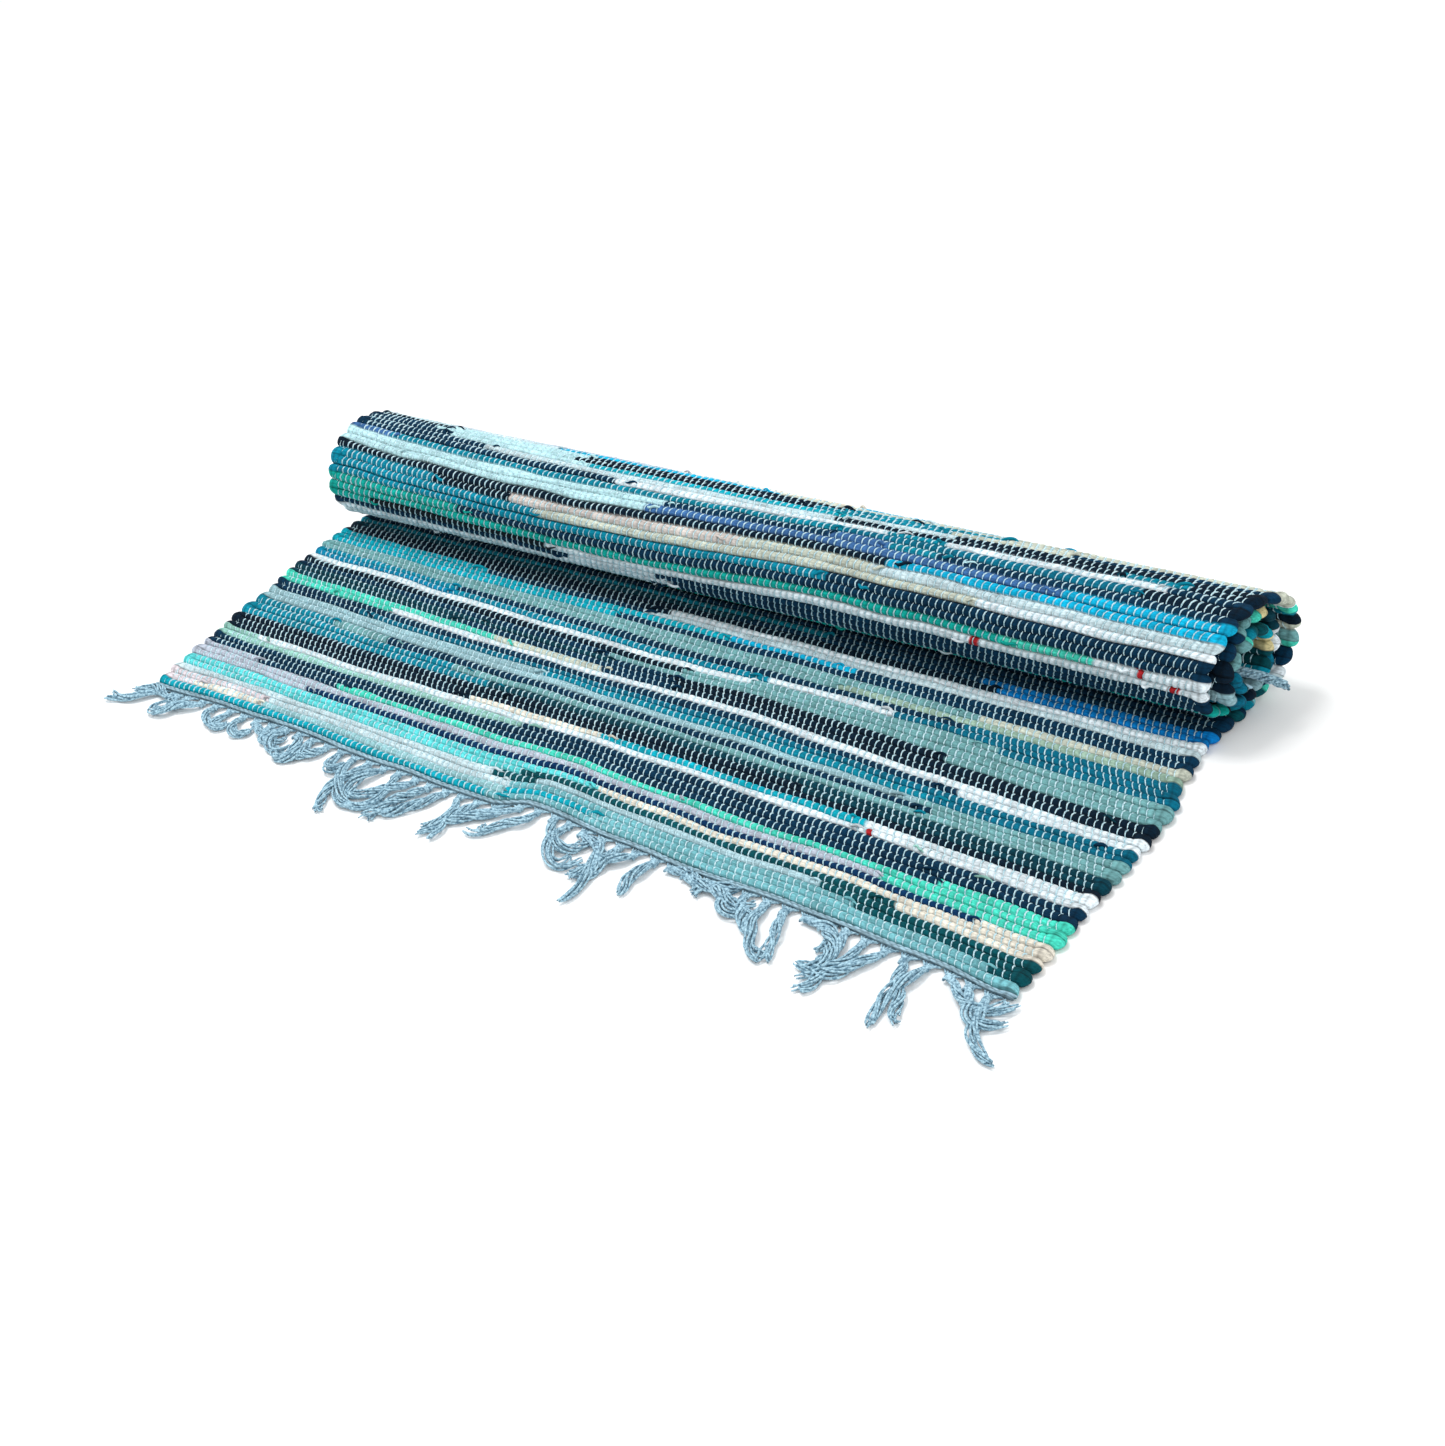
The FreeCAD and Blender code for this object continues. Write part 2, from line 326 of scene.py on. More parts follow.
def roll_path():
    """The roll's path as rows: metres from the first bend line, y, z, slope; and the bend lines.

    Each strip bows outwards between its two bend lines.
    """
    stops = [np.array(joint["pos_m"])[1:] for joint in joints]
    bends = [math.radians(-joint["range_deg"][0]) for joint in joints]
    last = sum(bends)
    stops.append(stops[-1] + PATH_END * np.array([math.cos(last), math.sin(last)]))
    bends.append(bends[-1])
    rows, starts = [(-0.02, HINGE[1] - 0.02, HINGE[2], 0.0)], [0.0]
    for index in range(len(joints)):
        chord = stops[index + 1] - stops[index]
        length = float(np.hypot(*chord))
        chord /= length
        outward = np.array([chord[1], -chord[0]])
        bow = BOW * length * (bends[index] + bends[index + 1]) / 16
        for t in np.linspace(-0.92, 0.92, 9):
            along = (t + 1) / 2 * length
            here = stops[index] + chord * along + outward * bow * (1 - t * t)
            slope = math.atan2(chord[1], chord[0]) + math.atan(4 * bow * t / length)
            rows.append((starts[-1] + along, *here, slope))
        starts.append(starts[-1] + length)
    rows = np.array(rows)
    rows[:, 3] = np.unwrap(rows[:, 3])
    return rows, starts


PATH, STARTS = roll_path()


def roll_place(index, first_pick):
    """Where points of a strip of the roll lie, from its bend line on; this pick is its first."""

    def place(x, along, high):
        pick = first_pick + along / PITCH
        reach = STARTS[index] + along + waver(x, pick) + stray(x, pick) * PITCH
        y, z, slope = [np.interp(reach, PATH[:, 0], PATH[:, k]) for k in (1, 2, 3)]
        beyond = reach - np.clip(reach, PATH[0, 0], PATH[-1, 0])
        y = y + beyond * np.cos(slope) - high * np.sin(slope)
        z = z + beyond * np.sin(slope) + high * np.cos(slope)
        return np.stack([flared(x, pick), y, z], -1)

    return place


# ---------------------------------------------------------------- meshes


def mesh_object(name, points, quads, uv, material, colours=None, lowest=0.0002):
    """A smooth mesh of quads, pressed flat at the floor. uv is per corner, colours per point."""
    points = np.array(points)
    points[:, 2] = np.maximum(points[:, 2], lowest)
    mesh = bpy.data.meshes.new(name)
    mesh.vertices.add(len(points))
    mesh.vertices.foreach_set("co", np.ascontiguousarray(points, np.float32).ravel())
    mesh.loops.add(quads.size)
    mesh.loops.foreach_set("vertex_index", quads.astype(np.int32).ravel())
    mesh.polygons.add(len(quads))
    mesh.polygons.foreach_set("loop_start", np.arange(0, quads.size, 4, dtype=np.int32))
    mesh.polygons.foreach_set("use_smooth", np.ones(len(quads), bool))
    layer = mesh.uv_layers.new(name="OFBake")
    layer.data.foreach_set("uv", np.ascontiguousarray(uv, np.float32).ravel())
    if colours is not None:
        attribute = mesh.color_attributes.new("rag", "FLOAT_COLOR", "POINT")
        rgba = np.ones((len(points), 4), np.float32)
        rgba[:, :3] = colours
        attribute.data.foreach_set("color", rgba.ravel())
    mesh.materials.append(material)
    mesh.update()
    mesh.validate()
    thing = bpy.data.objects.new(name, mesh)
    bpy.context.scene.collection.objects.link(thing)
    return thing


def grid_quads(rows, columns, first=0, flip=False):
    """Quads of a grid of rows by columns points, numbered row by row."""
    i = np.arange(rows - 1)[:, None] * columns + np.arange(columns - 1)[None, :] + first
    quads = np.stack([i, i + 1, i + columns + 1, i + columns], -1).reshape(-1, 4)
    return quads[:, ::-1] if flip else quads


# Across a pick: how far from its middle, in picks, and how high, as a share of half the thickness.
SECTION = [(-0.5, 0.42), (-0.36, 0.79), (-0.14, 1.0), (0.14, 1.0), (0.36, 0.79)]
EDGE_HIGH = 0.26             # the same height at a strip's own edges


def lean(v):
    """How far a float of the warp is off its middle, along its way over the pick."""
    return 0.0003 - 0.0009 * v - 0.0007 * (1 - 4 * v * v)


def rag_grid(depths, half, rng, first_pick):
    """Top and bottom of a strip of picks, as (x, along, high) grids and the pick of each column.

    Between the floats of the warp the rag swells, and at the selvages it ends in knuckles,
    where it turns back into the next pick.
    """
    inner = np.arange(ENDS * RINGS + 1) / (ENDS * RINGS) - 0.5
    ease = np.linspace(0, 1, TURN_RINGS + 1)[1:] * math.pi / 2
    x = np.concatenate([np.full(TURN_RINGS, -0.5), inner, np.full(TURN_RINGS, 0.5)]) * WIDTH
    beyond = np.concatenate([-np.sin(ease)[::-1], np.zeros(len(inner)), np.sin(ease)])
    taper = np.concatenate([np.cos(ease)[::-1], np.ones(len(inner)), np.cos(ease)])
    taper = np.maximum(taper, 0.05)
    fade = np.clip((WIDTH / 2 - np.abs(x)) / 0.007, 0, 1)
    starts = np.concatenate([[0], np.cumsum(depths)])
    columns, owner, share = [], [], []
    for pick, depth in enumerate(depths):
        for v, high in SECTION:
            columns.append(starts[pick] + (v + 0.5) * depth)
            owner.append(pick)
            share.append((v, high))
    columns.append(starts[-1])
    owner.append(len(depths) - 1)
    share.append((0.5, SECTION[0][1]))
    along = np.array(columns)
    owner = np.array(owner)
    share[0], share[-1] = (-0.5, EDGE_HIGH), (0.5, EDGE_HIGH)
    v = np.array([s[0] for s in share])
    high = np.array([s[1] for s in share])
    rows = len(x)
    swell = np.stack([1 + 0.10 * smooth_noise(x, 0.016, rng) for _ in depths], 1)[:, owner]
    right = (x > 0)[:, None].astype(int)
    pick_number = (owner + first_pick)[None, :]
    place_in_pair = (pick_number + right) % 2
    pair = v[None, :] + place_in_pair - 0.5
    pair_number = pick_number - place_in_pair
    chance = np.modf(np.abs(np.sin(pair_number * 12.99 + right * 7.3)) * 437.5)[0]
    knuckle = (0.0034 + 0.0026 * chance) * np.sqrt(1 - 0.93 * pair ** 2)
    end_high = 1.32 * np.sqrt(1 - 0.93 * pair ** 2)
    shape = fade[:, None] * high[None, :] + (1 - fade[:, None]) * end_high
    valley = (np.abs(v) > 0.45)[None, :]
    sides = []
    for up in (1, -1):
        phase = np.where((owner + first_pick) % 2 == 0, -0.25, 0.25) * up
        shift = np.where(valley[0], 0, phase * DASH + lean(v))
        xx = x[:, None] + shift[None, :] * fade[:, None] + beyond[:, None] * knuckle
        ring = np.arange(rows) - TURN_RINGS
        bead = np.repeat(rng.uniform(0.92, 1.08, (rows // RINGS + 2, len(depths))), RINGS, 0)
        pressed = np.where(ring % RINGS == 0, 0.66, 1.03)[:, None]
        pressed = np.where(valley, 1, 1 - (1 - pressed) * fade[:, None])
        z = up * half * shape * swell * bead[:rows][:, owner] * pressed * taper[:, None]
        slip = 0.0002 * np.stack([smooth_noise(x, 0.02, rng) for _ in depths], 1)[:, owner]
        sides.append((xx, along[None, :] + slip * (1 - valley), z))
    return sides, owner


def closed_cloth(name, sides, place, material, colours, extra=None):
    """One closed sheet from its top and bottom grids, and extra points, quads, UVs, colours."""
    top, bottom = [place(*side) for side in sides]
    rows, columns = top.shape[:2]
    count = rows * columns
    quads = [grid_quads(rows, columns, flip=True), grid_quads(rows, columns, count)]
    u = np.repeat(np.linspace(0.005, 0.995, rows), columns)
    v = np.tile(np.linspace(0.01, 0.48, columns), rows)
    uv_points = np.concatenate([np.stack([u, v], 1), np.stack([u, v + 0.51], 1)])
    corner_uv = [uv_points[quads[0]], uv_points[quads[1]]]
    index = np.arange(count).reshape(rows, columns)
    rim = np.concatenate(
        [index[0, :-1], index[:-1, -1], index[-1, :0:-1], index[:0:-1, 0], index[:1, 0]]
    )
    a, b = rim[:-1], rim[1:]
    walls = np.stack([a, b, b + count, a + count], 1)
    quads.append(walls)
    corner_uv.append(uv_points[np.stack([a, b, b, a], 1)])
    points = [top.reshape(-1, 3), bottom.reshape(-1, 3)]
    tints = [colours.reshape(-1, 3)] * 2
    if extra:
        points.append(extra[0])
        quads.append(extra[1] + 2 * count)
        corner_uv.append(extra[2])
        tints.append(extra[3])
    return mesh_object(
        name, np.concatenate(points), np.concatenate(quads), np.concatenate(corner_uv),
        material, np.concatenate(tints), lowest=0.0006,
    )


def rag_colours(plans, owner, rows, rng):
    """Colour of each point of a strip: its pick's rags, their tone varying along them, with painted
    shade in the valleys between picks and at the rings pressed in under the floats.
    """
    x = np.linspace(0, 1, rows)
    tint = np.zeros((rows, len(plans), 3))
    for pick, plan in enumerate(plans):
        start = begun = 0.0
        for word, end in runs(plan):
            tint[x >= start, pick] = linear(RAGS[word])
            start = end + rng.uniform(-1, 1) * min(0.012, 0.3 * (end - begun))
            begun = end
        shade = 1 + 0.14 * smooth_noise(x, 0.03, rng) + 0.12 * smooth_noise(x, 0.007, rng)
        tint[:, pick] *= shade[:, None]
    # painted shade: the colour is darkened in the valleys between picks and at the rings pressed in
    # under the floats of the warp
    painted_crevice_shade = np.ones((rows, len(owner), 1))
    painted_crevice_shade[:, ::len(SECTION)] = 0.52
    painted_crevice_shade[TURN_RINGS:-TURN_RINGS:RINGS] *= 0.64
    return tint[:, owner] * painted_crevice_shade


# A float of the warp: places along its way over a pick, how high it is there, and its section.
FLOAT_V = np.array([-0.56, -0.30, 0.0, 0.30, 0.56])
FLOAT_HIGH = np.array([0.22, 0.66, 0.84, 0.66, 0.22])
FLOAT_SECTION = [(-0.00042, -0.00040), (0.0, 0.00032), (0.00042, -0.00040)]


def warp_floats(name, count, place, half, rng, first_pick):
    """The warp's floats over the picks of a strip, on both sides: short arched yarns."""
    pick, end, up = np.meshgrid(np.arange(count), np.arange(ENDS), [1, -1], indexing="ij")
    pick, end, up = pick.ravel(), end.ravel(), up.ravel()
    phase = np.where((pick + first_pick) % 2 == 0, -0.25, 0.25) * up
    middle = (end / ENDS - 0.5) * WIDTH + (phase + np.where(end == 0, 0.5, 0)) * DASH
    middle = middle + rng.normal(0, 0.00012, len(middle))
    slant = rng.normal(0, 0.0004, len(middle))
    size = rng.uniform(0.85, 1.15, len(middle))
    v, high = FLOAT_V[None, :, None], FLOAT_HIGH[None, :, None]
    side = np.array([s[0] for s in FLOAT_SECTION])[None, None, :]
    lift = np.array([s[1] for s in FLOAT_SECTION])[None, None, :]
    x = middle[:, None, None] + slant[:, None, None] * v + side * size[:, None, None]
    x = x + lean(np.clip(v, -0.5, 0.5))
    along = (pick[:, None, None] + 0.5 + v) * PITCH + 0 * x
    along = np.clip(along, 0.0002, count * PITCH - 0.0002)
    z = up[:, None, None] * (half * high + lift * size[:, None, None] + 0.0003) + 0 * x
    points = place(x, along, z).reshape(-1, 3)
    one = grid_quads(len(FLOAT_V), 3)
    quads = one[None] + (np.arange(len(middle)) * len(FLOAT_V) * 3)[:, None, None]
    quads = np.where((up > 0)[:, None, None], quads[..., ::-1], quads).reshape(-1, 4)
    across = int(math.ceil(math.sqrt(len(middle) * 2)))
    cell = np.arange(len(middle))
    corner = np.stack([cell % across, cell // across], 1) / across
    local = np.stack(np.meshgrid([0.1, 0.9], [0.1, 0.9]), -1).reshape(4, 2)[[0, 1, 3, 2]]
    uv = corner[:, None, None, :] + local[None, None] * (1 / across)
    uv = np.broadcast_to(uv, (len(middle), len(one), 4, 2))
    return mesh_object(name, points, quads, uv, warp_cotton)


def tube_arrays(paths, radii, sides):
    """Points, quads and corner UVs of round yarns along paths (count, points, 3)."""
    count, length = paths.shape[:2]
    tangent = np.gradient(paths, axis=1)
    tangent /= np.linalg.norm(tangent, axis=2, keepdims=True) + 1e-12
    helper = np.array([0.31, 0.17, 0.93])
    one = np.cross(tangent, helper)
    one /= np.linalg.norm(one, axis=2, keepdims=True) + 1e-12
    two = np.cross(tangent, one)
    angle = np.arange(sides) * 2 * math.pi / sides
    ring = (
        one[:, :, None, :] * np.cos(angle)[None, None, :, None]
        + two[:, :, None, :] * np.sin(angle)[None, None, :, None]
    )
    points = paths[:, :, None, :] + ring * radii[:, :, None, None]
    i = np.arange(length - 1)[:, None] * sides + np.arange(sides)[None, :]
    j = np.arange(length - 1)[:, None] * sides + (np.arange(sides)[None, :] + 1) % sides
    one_tube = np.stack([i, j, j + sides, i + sides], -1).reshape(-1, 4)
    quads = (one_tube[None] + (np.arange(count) * length * sides)[:, None, None]).reshape(-1, 4)
    across = int(math.ceil(math.sqrt(count)))
    cell = np.arange(count)
    corner = np.stack([cell % across, cell // across], 1) / across
    u0 = np.tile(np.arange(sides), length - 1) / sides
    v0 = np.repeat(np.arange(length - 1), sides) / (length - 1)
    du, dv = 1 / sides, 1 / (length - 1)
    local = np.stack(
        [np.stack([u0, v0], 1), np.stack([u0 + du, v0], 1),
         np.stack([u0 + du, v0 + dv], 1), np.stack([u0, v0 + dv], 1)], 1
    ) * 0.96 + 0.02
    uv = corner[:, None, None, :] + local[None] / across
    return points.reshape(-1, 3), quads, uv.reshape(-1, 4, 2)


def tubes(name, paths, radii, material, sides=6):
    """Round yarns as one piece; radii (count, points)."""
    points, quads, uv = tube_arrays(paths, radii, sides)
    return mesh_object(name, points, quads, uv, material)


def rag_ends(plans, place, half, rng, up):
    """Short ends of rag that stand proud where one rag gives way to the next.

    They are on the face that shows: up is 1 on the flat part and -1 on the roll.
    """
    s = np.linspace(0, 1, 9)
    paths, radii, tints = [], [], []
    for pick, plan in enumerate(plans):
        changes = [(word, end) for word, end in runs(plan) if end < 1 and word != "red"]
        changes += [(runs(plan)[0][0], rng.uniform(0, 1)) for _ in range(int(rng.random() < 0.4))]
        for word, end in changes:
            length = rng.uniform(0.004, 0.011) * rng.choice([-1, 1])
            x = (end - 0.5) * WIDTH + length * s
            drift = rng.uniform(-0.5, 0.5) * PITCH
            along = (pick + 0.5) * PITCH + drift * s + 0.0006 * np.sin(6 * s)
            high = up * (half * 0.55 + (half * 0.62 + 0.0004) * np.sin(math.pi * s * 0.9))
            along = np.clip(along, 0.0008, len(plans) * PITCH - 0.0008)
            paths.append(place(x, along, high))
            radii.append(rng.uniform(0.0006, 0.0011) * np.interp(s, [0, 0.8, 1], [1, 0.8, 0.2]))
            tints.append(linear(RAGS[word]) * rng.uniform(0.7, 1.15))
    if not paths:
        return None
    points, quads, uv = tube_arrays(np.array(paths), np.array(radii), 6)
    colours = np.repeat(np.array(tints), len(points) // len(tints), 0)
    return points, quads, 0.002 + uv * 0.002, colours


# ---------------------------------------------------------------- materials


def new_material(name, roughness, sheen):
    """A matt cotton: its tree, its shader."""
    material = bpy.data.materials.new(name)
    material.use_nodes = True
    tree = material.node_tree
    shader = tree.nodes["Principled BSDF"]
    shader.inputs["Roughness"].default_value = roughness
    shader.inputs["Specular IOR Level"].default_value = 0.12
    shader.inputs["Sheen Weight"].default_value = sheen
    shader.inputs["Sheen Roughness"].default_value = 0.6
    return material, tree, shader


def node(tree, kind, **inputs):
    """A node with its inputs set, each a number or the socket that feeds it."""
    made = tree.nodes.new(kind)
    for key, value in inputs.items():
        socket = made.inputs[key.replace("_", " ")]
        if isinstance(value, bpy.types.NodeSocket):
            tree.links.new(value, socket)
        else:
            socket.default_value = value
    return made


def stretched(tree, scale):
    """Object coordinates, drawn out or squeezed along each axis."""
    where = tree.nodes.new("ShaderNodeTexCoord").outputs["Object"]
    return node(tree, "ShaderNodeMapping", Vector=where, Scale=scale).outputs["Vector"]


def rag_material():
    """Jersey rags: mottled, with fine creases along the pick and painted shade in them, and a fibrous
    surface.
    """
    material, tree, shader = new_material("jersey_rags", 0.85, 0.0)
    colour = tree.nodes.new("ShaderNodeVertexColor")
    colour.layer_name = "rag"
    creases = node(
        tree, "ShaderNodeTexNoise", Vector=stretched(tree, (160, 900, 900)),
        Scale=1.0, Detail=3.0, Roughness=0.6,
    )
    fibres = node(
        tree, "ShaderNodeTexNoise", Vector=stretched(tree, (2600, 2600, 2600)),
        Scale=1.0, Detail=2.0,
    )
    # mottled tone and painted shade together: the crease noise darkens the colour where it also bumps
    # the cloth down
    mottle_and_crease_shade = node(
        tree, "ShaderNodeMapRange", Value=creases.outputs["Fac"],
        From_Min=0.3, From_Max=0.7, To_Min=0.62, To_Max=1.22,
    )
    shaded = node(tree, "ShaderNodeVectorMath", Vector=colour.outputs["Color"])
    shaded.operation = "SCALE"
    tree.links.new(mottle_and_crease_shade.outputs["Result"], shaded.inputs["Scale"])
    tree.links.new(shaded.outputs["Vector"], shader.inputs["Base Color"])
    total = node(tree, "ShaderNodeMath")
    total.operation = "MULTIPLY_ADD"
    tree.links.new(fibres.outputs["Fac"], total.inputs[0])
    total.inputs[1].default_value = 0.35
    tree.links.new(creases.outputs["Fac"], total.inputs[2])
    bump = node(
        tree, "ShaderNodeBump", Height=total.outputs["Value"], Strength=0.9, Distance=0.0010
    )
    tree.links.new(bump.outputs["Normal"], shader.inputs["Normal"])
    return material


def yarn_material(name, light, dark, scale):
    """Plied cotton yarn: light and dark plies wound round it."""
    material, tree, shader = new_material(name, 0.9, 0.05)
    plies = node(
        tree, "ShaderNodeTexNoise", Vector=stretched(tree, scale), Scale=1.0, Detail=3.0
    )
    ramp = node(tree, "ShaderNodeValToRGB", Fac=plies.outputs["Fac"])
    ramp.color_ramp.elements[0].position = 0.34
    ramp.color_ramp.elements[0].color = (*linear(dark), 1)
    ramp.color_ramp.elements[1].position = 0.62
    ramp.color_ramp.elements[1].color = (*linear(light), 1)
    tree.links.new(ramp.outputs["Color"], shader.inputs["Base Color"])
    bump = node(
        tree, "ShaderNodeBump", Height=plies.outputs["Fac"], Strength=0.7, Distance=0.0004
    )
    tree.links.new(bump.outputs["Normal"], shader.inputs["Normal"])
    return material


jersey = rag_material()
warp_cotton = yarn_material("warp_cotton", (0.84, 0.93, 0.95), (0.56, 0.70, 0.75), (900,) * 3)
tassel_cotton = yarn_material("tassel_cotton", (0.71, 0.83, 0.88), (0.36, 0.48, 0.55), (700,) * 3)

# ---------------------------------------------------------------- strips


def strip(name, node_name, body, plans, place, first_pick, half, seed, held):
    """A strip's rags and the warp over them, as two pieces of its body.
    """
    rng = np.random.default_rng(seed)
    sides, owner = rag_grid([PITCH] * len(plans), half, rng, first_pick)
    colours = rag_colours(plans, owner, sides[0][0].shape[0], rng)
    ends = rag_ends(plans, place, half, rng, 1 if held == "laid" else -1)
    rags = closed_cloth(f"{name}_rags", sides, place, jersey, colours, ends)
    warp = warp_floats(f"{name}_warp", len(plans), place, half, rng, first_pick)
    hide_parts(node_name)
    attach(rags, body)
    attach(warp, body)


FLAT_NODES = sorted(n for n in bodies["root"] if n.startswith("flat_strip"))
FLAT_COUNTS = [3, 3, 2, 2, 2, 3, 2, 2, 2, 2, 3, 2, 2, 6, 8]      # picks in each of them


def shifted(place, by):
    """A strip that starts this many metres further along the flat part."""
    return lambda x, along, high: place(x, along + by, high)


def flat_part(trim):
    """The strips that lie flat, front to back; trim is not used."""
    first = 0
    for number, (node_name, count) in enumerate(zip(FLAT_NODES, FLAT_COUNTS), start=1):
        place = shifted(flat_place, first * PITCH)
        plans = FLAT_PLAN[first:first + count]
        name = node_name.replace("_strip", "")
        strip(
            name, node_name, "root", plans, place, first, HALF, 100 + number, "laid",
        )
        first += count


def rolled_part(trim):
    """The strips of the roll, from the first bend line to the rear edge; trim is not used."""
    rng = np.random.default_rng(7)
    plans = ROLL_PLAN + inner_plans(ROLL_PICKS - len(ROLL_PLAN), rng)
    first = 0
    for index in range(ROLL_STRIPS):
        count = 3 if index < THICK_STRIPS else 2
        node_name = f"roll_strip_{index + 1:02d}"
        strip(
            f"roll_{index + 1:02d}", node_name, f"roll_{index + 1:02d}",
            plans[first:first + count], roll_place(index, FLAT_PICKS + first), FLAT_PICKS + first,
            ROLL_HALF, 200 + index, "folded",
        )
        first += count


# ---------------------------------------------------------------- ends of the warp


def header(name, node_name, body, place, seed):
    """The fine cotton weft that locks the rags at one end."""
    rng = np.random.default_rng(seed)
    sides, owner = rag_grid([HEADER / 2] * 2, 0.0011, rng, 0)
    plans = ["yarn"] * 2
    colours = rag_colours(plans, owner, sides[0][0].shape[0], rng)
    cord = closed_cloth(name, sides, place, jersey, colours)
    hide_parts(node_name)
    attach(cord, body)
    return cord


TASSELS = 50
STRANDS = 9                  # yarns in a tassel of the front fringe
REAR_STRANDS = 5             # yarns in a tassel of the rear fringe
DRAWN = 6                    # warp ends drawn together to a knot
KNOT_AT = 0.0048             # from the header to the middle of a knot
STEPS = 28                   # points along a yarn
TASSEL_X = (np.arange(TASSELS) + 0.5) / TASSELS * WIDTH - WIDTH / 2
LEAD_X = [0, 6, 14, 26, 32, 40, 48, 54, 58, 68, 76, 82, 88, 93, 97, 100]
LEAD = [-62, -12, 12, 12, -14, -4, -9, 10, 40, 30, 25, 32, 22, -4, 38, 45]   # degrees from -Y to +X
POKING = {TASSELS - 1: 0.026, TASSELS - 2: 0.036}   # those that stick out of the roll's right end


def knot_yarns(centre, rng):
    """The yarn of an overhand knot: two short rings round its middle."""
    turns = np.linspace(0, 2 * math.pi * 1.6, STEPS)
    size = rng.uniform(0.9, 1.2)
    lean_by = rng.uniform(-0.6, 0.6)
    yarns = []
    for level in (-1, 1):
        ring = [
            0.0014 * size * np.cos(turns + lean_by),
            0.0009 * size * level + 0.0009 * size * np.sin(turns * 0.5 + lean_by),
            0.0010 * size * np.sin(turns + lean_by),
        ]
        yarns.append(centre + np.stack(ring, 1))
    return yarns, [np.full(STEPS, 0.00085 * size)] * 2


def warp_ends(x, knot):
    """Warp ends drawn together from the header to the knot."""
    t = np.linspace(0, 1, STEPS)[:, None]
    yarns = []
    for k in range(DRAWN):
        off = k - (DRAWN - 1) / 2
        root = np.array([x + off * 0.0020, -0.0020, 0.0013 - HINGE[2]])
        path = root * (1 - t) + (knot + [off * 0.0003, 0, 0]) * t
        path[:, 2] += 0.0007 * np.sin(math.pi * t[:, 0])
        yarns.append(path)
    return yarns, [np.full(STEPS, 0.00055)] * DRAWN


def bunches(rng):
    """Tassels that lie together: lists of their numbers."""
    number = 0
    while number < TASSELS:
        size = int(rng.choice([1, 2, 2, 3]))
        yield list(range(number, min(number + size, TASSELS)))
        number += size


def bunch_lie(share, rng):
    """First heading, curl and length of a bunch, from where it hangs along the edge."""
    lead = eased_interp(np.array([share * 100]), LEAD_X, LEAD)[0]
    if share < 0.30:                            # curled under themselves
        length = rng.uniform(0.024, 0.032)
        curl = rng.choice([-1, 1], p=[0.7, 0.3]) * rng.uniform(190, 290)
        spread = 10
    elif 0.58 < share < 0.76:                   # heaped up along the edge
        length = rng.uniform(0.026, 0.042)
        curl = rng.normal(0, 150)
        spread = 38
    else:
        length = rng.uniform(0.034, 0.052)
        curl = rng.normal(0, 70)
        spread = 16
    return math.radians(lead + rng.normal(0, spread)), math.radians(curl), length


def tassel_yarns(knot, heading, curl, length, rng):
    """The yarns of one tassel, loosely wound round a spine that wanders over the floor."""
    s = np.linspace(0, 1, STEPS)
    wobble = rng.normal(0, 0.4, 3)
    turn = heading + curl * s ** 2 + 0.5 * wobble[0] * np.sin(2 * math.pi * s)
    turn += 0.35 * wobble[1] * np.sin(4 * math.pi * s + wobble[2])
    step = length / (STEPS - 1)
    spine_x = knot[0] + np.concatenate([[0], np.cumsum(np.sin(turn[:-1]) * step)])
    spine_y = knot[1] - np.concatenate([[0], np.cumsum(np.cos(turn[:-1]) * step)])
    hump = 0.0020 * np.sin(math.pi * np.clip(s * 1.3, 0, 1)) * rng.uniform(0.2, 1.6)
    side_x, side_y = np.cos(turn), np.sin(turn)
    twist = rng.uniform(0.4, 1.3) * rng.choice([-1, 1])
    fullness = rng.uniform(0.0022, 0.0033)
    belly = fullness * np.interp(s, [0, 0.12, 0.45, 0.8, 1], [0.35, 0.7, 1.0, 0.9, 0.35])
    split = rng.uniform(0.55, 1.1)
    yarns, radii = [], []
    for k in range(STRANDS):
        swing = 2 * math.pi * (k / STRANDS + twist * s) + rng.normal(0, 0.15)
        depth = 1.0 if k % 3 else 0.45
        part = (1 if k % 2 else -1) * np.clip((s - split) / 0.5, 0, 1) * 0.006
        across = belly * depth * np.cos(swing) + part + rng.normal(0, 0.0005) * s
        cut = np.minimum(s, rng.uniform(0.88, 1.0))
        x = np.interp(cut, s, spine_x) + side_x * across
        y = np.interp(cut, s, spine_y) + side_y * across
        z = np.maximum(0.0022 + hump * (1 - s) + 0.6 * belly * depth * np.sin(swing), 0.0008)
        yarns.append(np.stack([x, y, z - HINGE[2]], 1))
        radii.append(np.interp(s, [0, 0.9, 1], [0.00068, 0.00060, 0.00035]))
    return yarns, radii


def fringe_piece(name, yarns, radii, place, node_name, body):
    """Yarns as one piece that stands for a CAD node."""
    path = np.array(yarns)
    if place:
        path = place(path[..., 0], path[..., 1], path[..., 2])
    piece = tubes(name, path, np.array(radii), tassel_cotton, 5)
    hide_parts(node_name)
    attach(piece, body)
    return piece


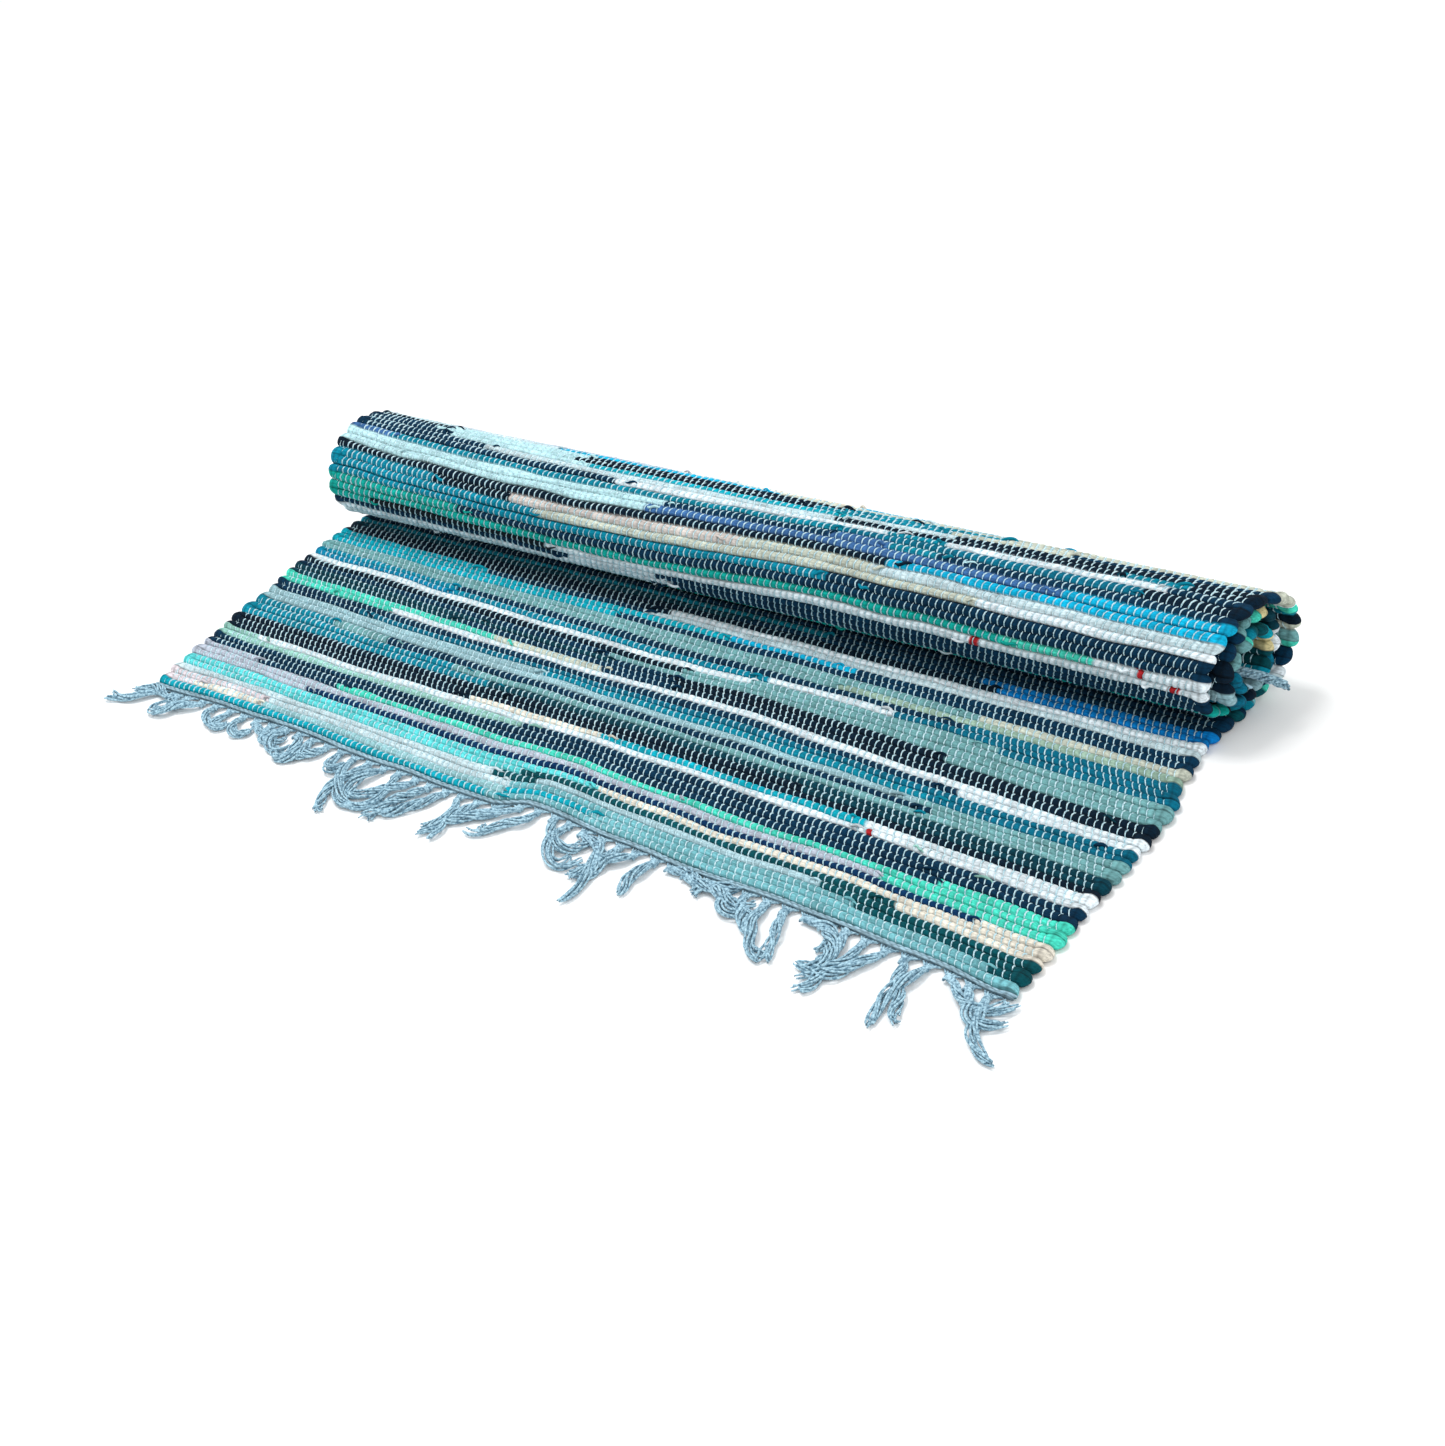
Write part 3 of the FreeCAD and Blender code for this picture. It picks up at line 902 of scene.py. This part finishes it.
def front_fringe():
    """Knots along the front edge, and tassels that lie on the floor in bunches."""
    rng = np.random.default_rng(31)
    knots, knot_radii, yarns, radii = [], [], [], []
    for bunch in bunches(rng):
        middle = TASSEL_X[bunch].mean()
        heading, curl, length = bunch_lie(middle / WIDTH + 0.5, rng)
        if bunch[0] == 0:                       # the first bunch lies out to the left
            heading, curl, length = math.radians(-66), math.radians(-25), 0.036
        for number in bunch:
            place_x = TASSEL_X[number] + rng.normal(0, 0.0006)
            knot = np.array([place_x, -0.0024 - KNOT_AT + rng.normal(0, 0.0005), 0.0021 - HINGE[2]])
            for made, made_radii in (knot_yarns(knot, rng), warp_ends(TASSEL_X[number], knot)):
                knots += made
                knot_radii += made_radii
            towards = math.atan2(middle - TASSEL_X[number], 0.022)
            own = tassel_yarns(
                knot, heading + towards, curl + rng.normal(0, 0.25),
                length * rng.uniform(0.85, 1.08), rng,
            )
            yarns += own[0]
            radii += own[1]
    return [
        fringe_piece("front_tassels", yarns, radii, flat_place, "front_fringe", "root"),
        fringe_piece("front_tassel_knots", knots, knot_radii, flat_place, "front_knots", "root"),
    ]


def rear_fringe():
    """Knots on the rear edge, and tassels curled up behind them inside the roll."""
    rng = np.random.default_rng(41)
    edge = roll_place(ROLL_STRIPS, PICKS - 1)
    curl = roll_place(ROLL_STRIPS + 1, PICKS - 1)
    s = np.linspace(0, 1, STEPS)
    knots, knot_radii, yarns, radii = [], [], [], []
    for number, x in enumerate(TASSEL_X):
        made = knot_yarns(np.array([x, 0.0055, 0.0]), rng)
        knots += made[0]
        knot_radii += made[1]
        turns = rng.uniform(0.9, 1.5) * 2 * math.pi
        for k in range(REAR_STRANDS):
            a = 2 * math.pi * k / REAR_STRANDS
            round_x = 0.0011 * np.cos(a + 5 * s)
            r = (0.0020 - 0.0007 * s) * rng.uniform(0.85, 1.1)
            px = x + (s - 0.5) * 0.004 + round_x
            along = 0.0024 + 0.0048 * s ** 0.5 + r * np.sin(turns * s)
            high = 0.0008 + r * (np.cos(turns * s) - 1) * 0.55 + 0.0006 * np.sin(a + 5 * s)
            if number in POKING:
                px = x + s * POKING[number] + round_x
                along = 0.004 + 0.001 * np.sin(3 * s) + 0.0018 * np.sin(a + 9 * s)
                high = 0.0010 + 0.0016 * np.cos(a + 9 * s) - 0.002 * s
            yarns.append(np.stack([px, along, high], 1))
            radii.append(np.full(STEPS, 0.00078))
    return [
        fringe_piece("rear_tassels_curled", yarns, radii, curl, "rear_fringe", "rear_tassels"),
        fringe_piece("rear_tassel_knots", knots, knot_radii, edge, "rear_knots", "rear_edge"),
    ]


front_header = header(
    "front_header_cord", "front_header", "root", shifted(flat_place, -HEADER), 51
)
rear_header = header(
    "rear_header_cord", "rear_header", "rear_edge", roll_place(ROLL_STRIPS, PICKS - 1), 52
)
flat_part([front_header, *front_fringe()])
rolled_part([rear_header, *rear_fringe()])

# ---------------------------------------------------------------- studio


def area_light(name, place, target, size, power):
    """A soft square light aimed at a point."""
    lamp = bpy.data.lights.new(name, "AREA")
    lamp.shape = "SQUARE"
    lamp.size = size
    lamp.energy = power
    thing = bpy.data.objects.new(name, lamp)
    thing.location = place
    aim = Vector(target) - Vector(place)
    thing.rotation_euler = aim.to_track_quat("-Z", "Y").to_euler()
    bpy.context.scene.collection.objects.link(thing)


def studio():
    """A pale floor, an even white surround and two soft lights from above."""
    mesh = bpy.data.meshes.new("floor")
    mesh.from_pydata([(-9, -9, 0), (9, -9, 0), (9, 9, 0), (-9, 9, 0)], [], [(0, 1, 2, 3)])
    floor = bpy.data.objects.new("floor", mesh)
    bpy.context.scene.collection.objects.link(floor)
    material = bpy.data.materials.new("pale_floor")
    material.use_nodes = True
    shader = material.node_tree.nodes["Principled BSDF"]
    shader.inputs["Base Color"].default_value = (0.93, 0.93, 0.93, 1)
    shader.inputs["Roughness"].default_value = 0.9
    shader.inputs["Specular IOR Level"].default_value = 0.1
    mesh.materials.append(material)
    floor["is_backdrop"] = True
    world = bpy.data.worlds.new("studio")
    bpy.context.scene.world = world
    world.use_nodes = True
    background = world.node_tree.nodes["Background"]
    background.inputs["Color"].default_value = (1, 1, 1, 1)
    background.inputs["Strength"].default_value = 0.86
    area_light("key", (-0.55, 0.1, 2.0), (0, 0, 0), 0.9, 25)
    area_light("fill", (1.5, -0.6, 1.7), (0, 0, 0), 1.2, 8)
    bpy.context.scene.view_settings.view_transform = "Standard"
    bpy.context.scene.view_settings.look = "None"


def camera():
    """The viewer stands in front of the right end, holding the camera a little tilted."""
    stand = (0.7085, -0.7703, 0.6747)
    azimuth, down, tilt = math.radians(-40.8), math.radians(33.5), math.radians(10.0)
    ahead = Vector((
        math.sin(azimuth) * math.cos(down), math.cos(azimuth) * math.cos(down), -math.sin(down)
    ))
    right = ahead.cross(Vector((0, 0, 1))).normalized()
    below = ahead.cross(right)
    across = right * math.cos(tilt) + below * math.sin(tilt)
    down_axis = below * math.cos(tilt) - right * math.sin(tilt)
    lens = bpy.data.cameras.new("camera")
    lens.sensor_width = 36
    lens.lens = 55.6
    thing = bpy.data.objects.new("camera", lens)
    turn = Matrix((across, -down_axis, -ahead)).transposed()
    thing.matrix_world = Matrix.Translation(stand) @ turn.to_4x4()
    bpy.context.scene.collection.objects.link(thing)
    bpy.context.scene.camera = thing


studio()
camera()

[[list(corner) for corner in box] for box in (cad_box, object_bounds())]
